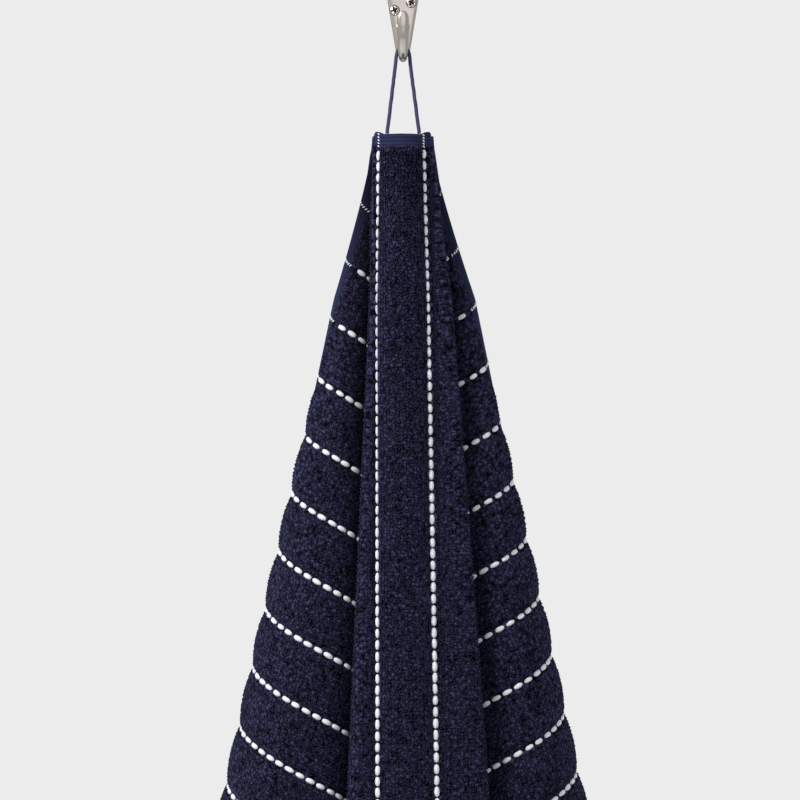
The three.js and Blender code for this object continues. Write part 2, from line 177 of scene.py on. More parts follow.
def plate_points(around=120):
    """Two round ends and the straight sides that touch both, carried up the rim, over its edge and in."""
    taper = np.arcsin((PLATE_TOP_RADIUS - PLATE_FOOT_RADIUS) / (PLATE_TOP_HEIGHT - PLATE_FOOT_HEIGHT))
    top = np.linspace(-taper, np.pi + taper, around // 2)
    angle = np.append(top, np.linspace(np.pi + taper, 2 * np.pi - taper, around - around // 2))
    upper = np.arange(around) < around // 2
    radius = np.where(upper, PLATE_TOP_RADIUS, PLATE_FOOT_RADIUS)
    centre = np.where(upper, PLATE_TOP_HEIGHT, PLATE_FOOT_HEIGHT)
    inset, depth = np.array(PLATE_INSET)[:, None], np.array(PLATE_DEPTH)[:, None]
    x = (radius - inset) * np.cos(angle)
    z = (radius - inset) * np.sin(angle) + centre
    rings = np.stack([x, -depth + 0 * x, z], axis=2)
    spine = rings[[0, -1]] * (0, 1, 1)
    spine[..., 2] = np.clip(spine[..., 2], PLATE_FOOT_HEIGHT, PLATE_TOP_HEIGHT)
    rings = np.concatenate([spine[:1], rings, spine[1:]])
    return rings.reshape(-1, 3), grid_faces(around, len(rings), wrap=True)


nickel = bpy.data.materials.new("satin_nickel")
tree, shader, add = nodes_of(nickel)
shader.inputs["Metallic"].default_value = 1.0
metal = add("ShaderNodeTexCoord")
stretched = add("ShaderNodeMapping", [(metal.outputs["Object"], "Vector")], Scale=(420, 420, 90))
grain = add("ShaderNodeTexNoise", [(stretched.outputs["Vector"], "Vector")], Scale=1.0, Detail=3.0)
cloud = add("ShaderNodeTexNoise", [(metal.outputs["Object"], "Vector")], Scale=120.0, Detail=2.0)
tone = add("ShaderNodeMix", [(cloud.outputs["Fac"], "Factor")], data_type="RGBA", A=NICKEL_LOW, B=NICKEL_HIGH)
satin = add("ShaderNodeMapRange", [(grain.outputs["Fac"], "Value")], **{"To Min": 0.18, "To Max": 0.26})
brushed = add("ShaderNodeBump", [(grain.outputs["Fac"], "Height")], Strength=0.02, Distance=0.0001)
tree.links.new(tone.outputs["Result"], shader.inputs["Base Color"])
tree.links.new(satin.outputs["Result"], shader.inputs["Roughness"])
tree.links.new(brushed.outputs["Normal"], shader.inputs["Normal"])

arm, arm_quads = arm_points()
plate, plate_quads = plate_points()
hook = make_piece(
    "hook_casting",
    np.concatenate([arm, plate]),
    np.concatenate([arm_quads, plate_quads + len(arm)]),
    nickel,
    weld=WELD,
)
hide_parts("hook")

# Screws. Two small pan-head screws with a cross recess hold the plate to the wall, one a little higher
# than the other.
SCREW_HEAD, SCREW_RISE, SCREW_SEAT, SCREW_SHANK = 3.5, 2.2, 3.3, 2.0
SCREW_LAP, SCREW_FOOT = 0.02, 0.6
RECESS_LONG, RECESS_WIDE, RECESS_DEEP, RECESS_SOFT, RIM_WIDE = 2.1, 0.6, 1.2, 0.06, 0.3
SCREW_TURN = {"left": 0.5, "right": 1.1}
# Head colour, and the dark brown laid in the cross recess and, as painted shade, round the head's rim where
# it meets the plate
STEEL, RECESS_DARK_AND_RIM_SHADE = (0.72, 0.68, 0.63, 1), (0.06, 0.03, 0.024, 1)


def screw_points(turn, rings=26, around=64):
    """Dome of revolution; inside two crossed bars its height drops by the recess depth with a soft edge."""
    radius = SCREW_HEAD * np.sin(np.linspace(0, np.pi / 2, rings))[:, None]
    angle = np.linspace(0, 2 * np.pi, around, endpoint=False)[None]
    a, b = radius * np.cos(angle - turn), radius * np.sin(angle - turn)
    soft = lambda value, edge: 1 / (1 + np.exp((np.abs(value) - edge) / RECESS_SOFT))
    bar = lambda over, along: soft(over, RECESS_WIDE) * soft(along, RECESS_LONG)
    bars = np.maximum(bar(a, b), bar(b, a))
    height = SCREW_RISE * np.sqrt(np.maximum(1 - (radius / SCREW_HEAD) ** 2, 0)) - RECESS_DEEP * bars
    dome = np.stack([radius * np.cos(angle), -SCREW_SEAT - height, radius * np.sin(angle)], axis=2)
    ring = np.stack([np.cos(angle[0]), 0 * angle[0], np.sin(angle[0])], axis=1)
    under, foot = (0, SCREW_SEAT - SCREW_LAP, 0), (0, SCREW_FOOT, 0)
    shank = ring * (SCREW_SHANK, 0, SCREW_SHANK)
    skirt = [ring * (SCREW_HEAD, 0, SCREW_HEAD) - under, shank - under, shank - foot, ring * 0 - foot]
    points = np.concatenate([dome, np.stack(skirt)])
    # Painted shade on a narrow rim round the head's edge, where it meets the plate, joined with the dark
    # cross recess
    rim = soft(SCREW_HEAD - radius, RIM_WIDE) + 0 * angle
    shade = np.concatenate([np.maximum(bars, rim), rim[-1:], 0 * bars[:3]])
    return points.reshape(-1, 3), grid_faces(around, len(points), wrap=True), shade.ravel()


def mark(piece, name, values):
    """One number for each point of a piece, kept under a name for its material to read."""
    kept = piece.data.attributes.new(name, "FLOAT", "POINT")
    kept.data.foreach_set("value", np.asarray(values, np.float32).ravel())


screw_steel = nickel.copy()
screw_steel.name = "screw_steel"
tree = screw_steel.node_tree
shader = tree.nodes["Principled BSDF"]
# Base colour turns dark brown in the cross recess and, as painted shade, round the head's rim
recess = tree.nodes.new("ShaderNodeAttribute")
recess.attribute_name = "recess"
recess_dark_and_rim_shade = tree.nodes.new("ShaderNodeMix")
recess_dark_and_rim_shade.data_type = "RGBA"
recess_dark_and_rim_shade.inputs["A"].default_value = STEEL
recess_dark_and_rim_shade.inputs["B"].default_value = RECESS_DARK_AND_RIM_SHADE
tree.links.new(recess.outputs["Fac"], recess_dark_and_rim_shade.inputs["Factor"])
tree.links.new(recess_dark_and_rim_shade.outputs["Result"], shader.inputs["Base Color"])

for side, turn in SCREW_TURN.items():
    low, high = (np.array(corner) * 1000 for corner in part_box("screw_" + side))
    head, head_quads, shade = screw_points(turn)
    head += ((low[0] + high[0]) / 2, 0, (low[2] + high[2]) / 2)
    screw = make_piece("screw_head_" + side, head, head_quads, screw_steel)
    mark(screw, "recess", shade)
    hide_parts("screw_" + side)

# Towel. One length of cotton terry with a plain-woven hem, hung by the middle of a long hem. It falls in a
# front strip and, on each side, a front fold, slack cloth in waves next to the wall, and a broad wing.
PITCH, STRIPES, PITCHES_WIDE = 38.1, 36, 20
TOWEL_LENGTH, TOWEL_WIDTH = STRIPES * PITCH, PITCHES_WIDE * PITCH
HEM_WIDTH, HEM_HALF = 9.5, 1.0
# The pile begins and rises over these shares of the hem's width, and it steps up out of the stripe grooves
PILE_FROM, PILE_OVER = 0.75, 0.5
GROOVE_HALF, GROOVE_WIDE, GROOVE_SLOPE, PILE_STEP = 0.9, 1.7, 1.6, 0.9
CROWN_HIDDEN, CROWN_FRONT, CROWN_WING = 0.2, 1.0, 2.5
CROWN_PLACES = [0, 2, 2.8, 23.6, 24.4, 30]
HEM_DROP, CORD_SPACE = 83.0, 28.0
SHEAR, SHEAR_FADE = 0.29, 0.45
LEVELS = np.array([0.0, 110.0, 424.0, 1000.0])
TOP_EASE = 1.2
BEND_STEPS, HALVINGS, CLOTH_STEP = 24, 44, 0.5
STRIP_SAG = np.array([13.0, 7.5, 3.0, 3.0])
EAR_RISE, EAR_WIDE, EAR_FALL, EAR_BENDS = 2.0, 4.0, 14.0, 1.2
# A row for each fold or run: distance from the middle plane, then depth towards the viewer, at the levels
LEFT_FRONT = {
    "front_edge": ([16.6, 18.2, 18.3, 19.7], [0, 17, 62, 92]),
    "front_run": ([17.2, 18.5, 24.4, 37.4], [-0.6, 17.5, 62.5, 92]),
    "front_fold": ([17.8, 18.9, 32, 55], [-1.6, 17, 61.5, 91]),
    "front_return": ([17.8, 18.7, 32, 55], [-4.6, 10.5, 50, 76]),
    "under_run": ([14, 14, 20, 30], [-5, 10.4, 50, 76]),
    "under_end": ([8, 4.6, 4.4, 5], [-5, 10.4, 50, 76]),
}
RIGHT_FRONT = {
    "front_edge": ([16, 19.8, 26, 34], [0, 17, 60, 90]),
    "front_run": ([16.8, 24, 40, 60], [-0.6, 17.5, 60.5, 90]),
    "front_fold": ([17.3, 28.8, 52, 86], [-1.6, 16.5, 59, 88]),
    "front_return": ([17.3, 28.8, 52, 86], [-5.2, 9.8, 47, 74]),
    "under_run": ([14, 18, 30, 44], [-5.6, 9.8, 48, 75]),
    "under_end": ([8, 4.6, 4.4, 5], [-5.6, 9.8, 48, 75]),
}
SLACK_WAVES, SLACK_TIP_SWING = 7, 0.6
SLACK = {
    "turn": [8, 4.6, 4.4, 5],
    "first": [14, 17.5, 20.5, 38],
    "last": [16.5, 30, 88, 176],
    "tip": [19, 34, 97, 196],
    "depth": [-21, -18.5, -8, 2],
    "swing": [0, 0.3, 21, 31],
    "gap": [7, 10.6, 15, 26],
    "back_turn": [11.2, 11.2, 12.5, 20],
}
LEFT_WING = {
    "wing_root": ([11.2, 11.2, 12.5, 20], [-9.2, 2.6, 27, 52]),
    "wing_valley": ([15.2, 19, 31, 58], [-9.2, 2.4, 26, 52]),
    "wing_rise": ([15.7, 23, 44, 92], [-9.2, 4, 41, 66]),
    "wing_crest": ([16.1, 27.4, 63, 132], [-9.2, 5.6, 47, 70]),
    "wing_shoulder": ([16.7, 33, 86, 184], [-9.4, 4.6, 43, 62]),
    "wing_side": ([17, 39.8, 104, 224], [-9.6, 0.6, 28, 42]),
    "outline": ([17.5, 43.7, 113.6, 246], [-9.8, -3.6, 6, 8]),
    "hem": ([17.8, 44.1, 108.5, 236], [-10, -7, -12, -14]),
}
RIGHT_WING = {
    "wing_root": ([11.2, 11.2, 12.5, 20], [-9.2, 2, 31, 56]),
    "wing_valley": ([13.2, 20, 43, 82], [-9.2, 1.2, 27, 54]),
    "wing_rise": ([14.4, 25.6, 58, 114], [-9.2, 2.6, 34, 60]),
    "wing_crest": ([15.2, 30.4, 75, 152], [-9.2, 3.6, 41, 66]),
    "wing_shoulder": ([15.6, 36.2, 92, 194], [-9.4, 2.8, 38, 58]),
    "wing_side": ([15.9, 41.6, 104.8, 228], [-9.6, -0.6, 25, 40]),
    "outline": ([16.2, 45.4, 113.8, 250], [-9.8, -4, 5, 8]),
    "hem": ([16.5, 46, 108.8, 240], [-10, -7.2, -13, -14]),
}


def slack_rows():
    """Rows of the hidden cloth: out along the wall in waves, round a tip, and back beside itself."""
    s = {key: np.array(value, float) for key, value in SLACK.items()}
    share = np.linspace(0, 1, SLACK_WAVES)[:, None]
    sign = np.where(np.arange(SLACK_WAVES) % 2, 1.0, -1.0)[:, None]
    out = s["first"] + (s["last"] - s["first"]) * share
    near = s["depth"] + sign * s["swing"]
    tip = s["depth"] - SLACK_TIP_SWING * s["swing"]
    rows = [(s["turn"], s["depth"]), *zip(out, near), (s["tip"], tip), (s["tip"], tip + s["gap"])]
    return rows + [*zip(out[::-1], near[::-1] + s["gap"]), (s["back_turn"], s["depth"] + s["gap"])]


class Half:
    """One side of the towel: its rows as an array (row, out or near, level) and its fan of straight lines."""

    def __init__(self, side, strip, straight, front, wing):
        self.side, self.strip, self.straight = side, strip, straight
        self.rows = np.array([*front.values(), *slack_rows(), *wing.values()], float)
        self.bends = len(self.rows) - 2
        self.place = np.linspace(0, self.bends, self.bends * BEND_STEPS + 1)
        section = self.bend_point(self.place, np.full(self.place.shape, LEVELS[2]))
        steps = np.linalg.norm(np.diff(section, axis=0), axis=1)
        self.angle = np.concatenate([[0], np.cumsum(steps)]) / steps.sum() * np.pi / 2

    def bend_point(self, place, radius):
        """Quadratic curve round row 1 + floor(place), between the half-way points to the rows beside it."""
        bend = np.minimum(place.astype(int), self.bends - 1)
        share = (place - bend)[..., None]
        level = np.clip(np.searchsorted(LEVELS, radius) - 1, 0, len(LEVELS) - 2)
        weight = np.clip((radius - LEVELS[level]) / (LEVELS[level + 1] - LEVELS[level]), 0, 1)[..., None]
        weight = np.where(level[..., None] == 0, weight**TOP_EASE, weight)
        at = lambda row: (1 - weight) * self.rows[row, :, level] + weight * self.rows[row, :, level + 1]
        before, corner, after = at(bend), at(bend + 1), at(bend + 2)
        start = np.where((bend == 0)[..., None], before, (before + corner) / 2)
        end = np.where((bend == self.bends - 1)[..., None], after, (corner + after) / 2)
        return (1 - share) ** 2 * start + 2 * share * (1 - share) * corner + share**2 * end

    def point(self, angle, radius):
        """Point of the middle surface: the line at this cloth angle, let down by the length along it."""
        place = np.interp(angle, self.angle, self.place)
        top, here = self.bend_point(place, 0 * radius), self.bend_point(place, radius)
        lean = np.cos(angle)
        length = radius * (1 + SHEAR * lean * np.exp(-((lean / SHEAR_FADE) ** 2)))
        fall = np.sqrt(np.maximum(length**2 - ((here - top) ** 2).sum(-1), 0))
        ear = EAR_RISE * np.exp(-((place / EAR_BENDS) ** 2) - radius / EAR_FALL)
        out, near = here[..., 0], here[..., 1]
        return np.stack([self.side * out, -CORD_SPACE - near, ear - HEM_DROP - fall], axis=-1)

    def start(self, angle):
        """Where along the hem the line at this angle begins."""
        return self.strip + (self.straight - self.strip) * angle / (np.pi / 2)

    def line_through(self, along, down):
        """Angle and length of the line through a point of the flat cloth, by halving the angle's range."""
        low, high = np.zeros(along.shape), np.full(along.shape, np.pi / 2)
        for _ in range(HALVINGS):
            middle = (low + high) / 2
            short = (self.start(middle) - along) * np.cos(middle) + down * np.sin(middle) < 0
            low, high = np.where(short, middle, low), np.where(short, high, middle)
        return middle, np.hypot(along - self.start(middle), down)


left = Half(-1, strip=21.5, straight=51.2, front=LEFT_FRONT, wing=LEFT_WING)
right = Half(1, strip=24.0, straight=58.6, front=RIGHT_FRONT, wing=RIGHT_WING)


def strip_point(share, radius):
    """Point of the front strip: an arc between the two front edges, most bowed at the top."""
    zero = 0 * radius
    a, b = left.bend_point(zero, radius), right.bend_point(zero, radius)
    bow = 4 * share * (1 - share)
    eased = LEVELS[1] * (np.minimum(radius, LEVELS[1]) / LEVELS[1]) ** TOP_EASE
    sag = np.interp(np.where(radius < LEVELS[1], eased, radius), LEVELS, STRIP_SAG)
    near = a[..., 1] + (b[..., 1] - a[..., 1]) * share + sag * bow
    fall = np.sqrt(np.maximum(radius**2 - (near - STRIP_SAG[0] * bow) ** 2, 0))
    out = -a[..., 0] + (b[..., 0] + a[..., 0]) * share
    from_edge = np.minimum(share, 1 - share) * (left.strip + right.strip)
    ear = EAR_RISE * np.exp(-((from_edge / EAR_WIDE) ** 2) - radius / EAR_FALL)
    return np.stack([out, -CORD_SPACE - near, ear - HEM_DROP - fall], axis=-1)


def cloth_point(along, down):
    """Middle surface at a place on the flat towel: along the hem from its middle, and down from the hem."""
    along, down = np.broadcast_arrays(np.asarray(along, float), np.asarray(down, float))
    middle = strip_point(np.clip((along + left.strip) / (left.strip + right.strip), 0, 1), down)
    for half in (left, right):
        outer = half.side * along > half.strip
        middle[outer] = half.point(*half.line_through(half.side * along[outer], down[outer]))
    return middle


def from_stripe(along):
    """Distance along the hem from the nearest stripe; the stripes lie half a pitch off the towel's middle."""
    return np.abs(np.mod(along / PITCH, 1) - 0.5) * PITCH


def face_height(along, down, crown):
    """Height of a face over the middle: plain in hems, else a step out of each groove and a crowned band."""
    edge = np.minimum(np.minimum(down, TOWEL_WIDTH - down), TOWEL_LENGTH / 2 - np.abs(along))
    soft = lambda value: np.clip(value, 0, 1) ** 2 * (3 - 2 * np.clip(value, 0, 1))
    pile = soft((edge - PILE_FROM * HEM_WIDTH) / (PILE_OVER * HEM_WIDTH))
    away = from_stripe(along)
    rise = PILE_STEP * soft((away - GROOVE_WIDE) / GROOVE_SLOPE) + crown * (1 - (1 - 2 * away / PITCH) ** 2)
    return HEM_HALF + (GROOVE_HALF + rise - HEM_HALF) * pile


def crown_at(place):
    """Crown of the face turned to the room: full on the front folds and the wings, low on what they hide."""
    return np.interp(place, CROWN_PLACES, np.repeat([CROWN_FRONT, CROWN_HIDDEN, CROWN_WING], 2))


FOLD_ROW, FOLD_HALF, WING_FROM = list(LEFT_FRONT).index("front_fold"), 3.0, 23.5
# Painted shade beside each front fold: how far out it reaches, and how deep it is at these drops below the
# hem
SHADE_DROP = [40, 190, 230, 300, 400]
SHADE = {left: (19.0, [0.85, 0.85, 0.45, 0.25, 0.15]), right: (15.0, [0.5, 0.5, 0.35, 0.35, 0.3])}


def painted_light_share(points, place):
    """Share of the light painted into the pile's colour: the whole, but for painted shade in the valleys
    beside the front folds, where it rises evenly with the distance out from the fold, from a share that is
    least high up under the loop."""
    drop = -HEM_DROP - points[..., 2]
    share = np.ones(place.shape)
    for half, (wide, painted_shade_depth) in SHADE.items():
        edge = np.interp(drop, LEVELS, half.rows[FOLD_ROW, 0]) + FOLD_HALF
        away = np.clip((half.side * points[..., 0] - edge) / wide, 0, 1)
        inside = (half.side * points[..., 0] > 0) & (place > WING_FROM)
        share = np.where(inside, 1 - np.interp(drop, SHADE_DROP, painted_shade_depth) * (1 - away), share)
    return share


# Rows over each band of pile and in the hem, and columns in each bend and over the strip: closer where the
# cloth turns or steps more sharply
HEM_ROWS, ROWS_FROM = np.array([0, 0.004, 0.009, 0.013]), 1.75 * PITCH
BAND_ROWS = np.array([0, 1.7, 3.3, 6.5, 11.5, 19.05, 26.6, 31.6, 34.8, 36.4])
BEND_COLUMNS = [4, 6, 6, 3, 5, 4] + [3] * 7 + [4, 4] + [3] * 7 + [4] + [5, 5, 6, 6, 7, 7, 7]
STRIP_COLUMNS = [-20.6, -19.05, -17.4, -15.8, -12.5, -8, 0, 8, 12.5, 15.8, 17.4, 19.05, 20.7, 22.4]


def row_shares(start):
    """Rows as shares of a line that starts this far along the hem: the hem's own, then those of each band."""
    marks = (np.arange(1.5, STRIPES / 2)[:, None] * PITCH + BAND_ROWS).ravel()
    marks = np.append(marks[(marks > ROWS_FROM) & (marks < TOWEL_LENGTH / 2 - 0.1)], TOWEL_LENGTH / 2)
    rows = (marks - start) / (TOWEL_LENGTH / 2 - start)
    return np.concatenate([HEM_ROWS + 0 * start, rows], axis=1)


def towel_grid():
    """Fan grid over the whole towel: its columns are lines of the fan, its rows follow the wings' stripes."""
    steps = np.concatenate([bend + np.arange(count) / count for bend, count in enumerate(BEND_COLUMNS)])
    parts = {}
    for half in (left, right):
        place = np.append(steps, half.bends)[:, None]
        angle = np.interp(place, half.place, half.angle)
        start = half.start(angle)
        reach = (TOWEL_LENGTH / 2 - start) / np.maximum(np.sin(angle), 1e-9)
        radius = np.minimum(reach, TOWEL_WIDTH / np.maximum(np.cos(angle), 1e-9)) * row_shares(start)
        place, angle = place + 0 * radius, angle + 0 * radius
        along = half.side * (half.start(angle) + radius * np.sin(angle))
        parts[half] = half.point(angle, radius), along, radius * np.cos(angle), place
    along = np.array(STRIP_COLUMNS)[:, None]
    share = (along + left.strip) / (left.strip + right.strip)
    down = row_shares(left.strip + (right.strip - left.strip) * share) * TOWEL_WIDTH
    strip = strip_point(share + 0 * down, down), along + 0 * down, down, 0 * down
    return [np.concatenate([a[::-1], b, c]) for a, b, c in zip(parts[left], strip, parts[right])]


middle, along, down, place = towel_grid()
normal = np.cross(np.gradient(middle, axis=1), np.gradient(middle, axis=0))
normal /= np.linalg.norm(normal, axis=2, keepdims=True)
front = middle + normal * face_height(along, down, crown_at(place))[..., None]
back = middle - normal * face_height(along, down, CROWN_HIDDEN)[..., None]
columns, rows = along.shape
face = grid_faces(rows, columns)
count = columns * rows
index = np.arange(count).reshape(columns, rows)
border = np.concatenate([index[:, 0], index[-1, 1:], index[-2::-1, -1], index[0, -2:0:-1]])
next_border = np.roll(border, -1)
sides = np.stack([border, next_border, next_border + count, border + count], axis=1)
towel_faces = np.concatenate([face, face[:, ::-1] + count, sides])

terry = bpy.data.materials.new("navy_terry")
towel_points = np.concatenate([front.reshape(-1, 3), back.reshape(-1, 3)])
towel = make_piece("towel_cloth", towel_points, towel_faces, terry)
close_shell(towel.data)


def lay_flat(piece, along, down):
    """UV map in which the cloth lies flat: one unit to a metre, along the hem from its middle, and down."""
    flat = np.stack([along.ravel(), -down.ravel()], axis=1) / 1000.0
    corner = np.empty(len(piece.data.loops), np.int32)
    piece.data.loops.foreach_get("vertex_index", corner)
    piece.data.uv_layers.new(name="flat_cloth").data.foreach_set("uv", flat[corner].ravel())


lay_flat(towel, np.concatenate([along, along]), np.concatenate([down, down]))
# Painted shade in the valleys beside the front folds, kept on the points of both faces for the terry's colour
mark(towel, "painted_light_share", np.tile(painted_light_share(middle, place).ravel(), 2))

# Pile navy runs from painted shade deep between the loops (low) to the lit loop tops (high); the hem has two
# weave tones
NAVY_LOW, NAVY_HIGH = (0.0005, 0.0005, 0.0014, 1), (0.048, 0.048, 0.114, 1)
HEM_LOW, HEM_HIGH = (0.0078, 0.0087, 0.0228, 1), (0.026, 0.029, 0.076, 1)
HEM_SHOWN, PILE_SHOWN = 0.0072, 0.0092


def dull_navy(shader, roughness):
    """Dyed cotton: rough, hardly any gleam, and a faint blue sheen where it is seen along the surface."""
    shader.inputs["Roughness"].default_value = roughness
    shader.inputs["Sheen Weight"].default_value = 0.1
    shader.inputs["Sheen Roughness"].default_value = 0.4
    shader.inputs["Sheen Tint"].default_value = (0.4, 0.45, 1.0, 1)
    shader.inputs["Specular IOR Level"].default_value = 0.06


def shade_colour(tree, shader, add, colour):
    """Base colour: the colour times the share of light kept on the piece's points, which paints the valley
    shade in.
    """
    light = add("ShaderNodeAttribute", attribute_name="painted_light_share").outputs["Fac"]
    shaded = add("ShaderNodeVectorMath", [(colour, 0), (light, 1)], operation="MULTIPLY")
    tree.links.new(shaded.outputs["Vector"], shader.inputs["Base Color"])


def terry_nodes(material):
    """Navy pile: loops as cells about 2.4 mm apart in ranks along the stripes, darker between as painted
    shade; hems plain.
    """
    tree, shader, add = nodes_of(material)
    dull_navy(shader, 0.95)
    flat = add("ShaderNodeUVMap", uv_map="flat_cloth")
    apart = add("ShaderNodeSeparateXYZ", [(flat.outputs["UV"], "Vector")])

    def calc(how, *sources):
        node = add("ShaderNodeMath", operation=how)
        for i, source in enumerate(sources):
            if isinstance(source, (int, float)):
                node.inputs[i].default_value = source
            else:
                tree.links.new(source, node.inputs[i])
        return node.outputs[0]

    edge_up = calc("MULTIPLY", apart.outputs["Y"], -1.0)
    edge_down = calc("ADD", apart.outputs["Y"], TOWEL_WIDTH / 1000)
    edge_side = calc("SUBTRACT", TOWEL_LENGTH / 2000, calc("ABSOLUTE", apart.outputs["X"]))
    edge = calc("MINIMUM", calc("MINIMUM", edge_up, edge_down), edge_side)
    hem = add("ShaderNodeMapRange", [(edge, "Value")], interpolation_type="SMOOTHSTEP")
    hem.inputs["From Min"].default_value = HEM_SHOWN
    hem.inputs["From Max"].default_value = PILE_SHOWN
    cells = add("ShaderNodeTexVoronoi", [(flat.outputs["UV"], "Vector")], Scale=420.0, Randomness=0.75)
    fibre = add("ShaderNodeTexNoise", [(flat.outputs["UV"], "Vector")], Scale=900.0, Detail=4.0)
    cloud = add("ShaderNodeTexNoise", [(flat.outputs["UV"], "Vector")], Scale=45.0, Detail=3.0)
    # Cell middles light and the gaps between cells dark: painted shade between the loops, with fibre and
    # cloud noise for random tone
    crown = add("ShaderNodeMapRange", [(cells.outputs["Distance"], "Value")])
    crown.inputs["From Min"].default_value = 0.1
    crown.inputs["From Max"].default_value = 0.75
    crown.inputs["To Min"].default_value = 1.0
    crown.inputs["To Max"].default_value = 0.0
    uneven = lambda noise, least, span: calc("ADD", least, calc("MULTIPLY", noise.outputs["Fac"], span))
    lit = calc("MULTIPLY", crown.outputs["Result"], uneven(fibre, 0.55, 0.9))
    lit = calc("MULTIPLY", lit, uneven(cloud, 0.6, 0.8))
    pile = add("ShaderNodeMix", [(lit, "Factor")], data_type="RGBA", A=NAVY_LOW, B=NAVY_HIGH)
    weave_x = add("ShaderNodeTexWave", [(flat.outputs["UV"], "Vector")], Scale=170.0, Distortion=1.5)
    weave_y = add("ShaderNodeTexWave", [(flat.outputs["UV"], "Vector")], Scale=130.0, bands_direction="Y")
    weave = calc("MULTIPLY", calc("ADD", weave_x.outputs["Fac"], weave_y.outputs["Fac"]), 0.5)
    woven = add("ShaderNodeMix", [(weave, "Factor")], data_type="RGBA", A=HEM_LOW, B=HEM_HIGH)
    mix = add("ShaderNodeMix", [(hem.outputs["Result"], "Factor")], data_type="RGBA")
    tree.links.new(woven.outputs["Result"], mix.inputs["A"])
    tree.links.new(pile.outputs["Result"], mix.inputs["B"])
    shade_colour(tree, shader, add, mix.outputs["Result"])
    relief = add("ShaderNodeMix", [(hem.outputs["Result"], "Factor")], data_type="FLOAT")
    tree.links.new(calc("MULTIPLY", weave, 0.35), relief.inputs["A"])
    tree.links.new(lit, relief.inputs["B"])
    bump = add("ShaderNodeBump", [(relief.outputs["Result"], "Height")], Strength=0.8, Distance=0.0012)
    tree.links.new(bump.outputs["Normal"], shader.inputs["Normal"])


terry_nodes(terry)
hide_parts("towel")


def place_at(along, down):
    """Which bend a point of the flat cloth lies on, counted from the front strip outwards."""
    place = np.zeros(along.shape)
    for half in (left, right):
        outer = half.side * along > half.strip
        angle, _ = half.line_through(half.side * along[outer], down[outer])
        place[outer] = np.interp(angle, half.angle, half.place)
    return place


def cloth_steps(along, down):
    """How far the middle surface runs from one step before a place to one step past it, across and down."""
    sideways = cloth_point(along + CLOTH_STEP, down) - cloth_point(along - CLOTH_STEP, down)
    above, below = np.maximum(down - CLOTH_STEP, 0), np.minimum(down + CLOTH_STEP, TOWEL_WIDTH)
    return sideways, cloth_point(along, below) - cloth_point(along, above)


def on_cloth(along, down, side_up):
    """Point on one face of the pile, with the unit directions down the cloth, across it, and out of it."""
    sideways, downward = cloth_steps(along, down)
    unit = lambda v: v / np.maximum(np.linalg.norm(v, axis=-1, keepdims=True), 1e-9)
    outward = unit(np.cross(downward, sideways)) * side_up
    ahead = unit(downward)
    crown = crown_at(place_at(along, down)) if side_up > 0 else CROWN_HIDDEN
    point = cloth_point(along, down) + outward * face_height(along, down, crown)[..., None]
    return point, ahead, np.cross(outward, ahead), outward


# Stripes. White cotton floats woven into the grooves between the bands of pile, one after another like a
# running stitch, on both faces of the cloth. In the hems they go on as a row of small slanting ticks.
FLOAT_PITCH, FLOAT_LONG, FLOAT_WIDE, FLOAT_HIGH = 7.2, 6.2, 3.6, 1.9
FLOAT_FIRST, FLOAT_LAST, FLOAT_SUNK, FLOATS_APART = 4.5, 3, 0.5, 10
FLOAT_JITTER, STRIPE_JITTER, FLOAT_TURN = 0.35, 2, 0.06
HEM_STITCH_LONG, HEM_STITCH_WIDE, HEM_STITCH_HIGH, HEM_STITCH_TURN = 2.0, 0.95, 0.7, 1.0
HEM_STITCHES, HEM_STITCH_FIRST, HEM_STITCH_PITCH, HEM_STITCH_SUNK = 5, 1.0, 1.85, 0.15
WHITE_LOW, WHITE_HIGH = (0.57, 0.575, 0.61, 1), (0.82, 0.825, 0.86, 1)
# Share of a float's width that shows on the two front stripes, at these lengths down the cloth
GATHER_DOWN = [10, 40, 75, 115, 200, 320, 420]
GATHER_LEFT = [0.85, 0.5, 0.35, 0.32, 0.46, 0.8, 1.0]
GATHER_RIGHT = [0.85, 0.75, 0.7, 0.7, 1.05, 1.1, 1.1]


def gathered(along, down):
    """Share of a float's width that shows: less on the two front stripes, where the pile closes over them."""
    on_left, on_right = (np.interp(down, GATHER_DOWN, shares) for shares in (GATHER_LEFT, GATHER_RIGHT))
    narrow = np.where(along < 0, on_left, on_right)
    return np.where(np.abs(along) < PITCH, narrow, 1.0)[:, None, None]


def bead_shape(long_steps=5, wide_steps=4):
    """Unit float: a plump oval, its width and height both falling off towards the two ends and the sides."""
    a = np.sin(np.linspace(-1, 1, long_steps + 1) * np.pi / 2)[:, None]
    b = np.sin(np.linspace(-1, 1, wide_steps + 1) * np.pi / 2)[None]
    slim = np.maximum(1 - np.abs(a) ** 3.4, 0.06) ** 0.45
    return a / 2 + 0 * b, slim * b / 2, slim * np.sqrt(np.maximum(1 - b**4, 0.0)) + 0 * a


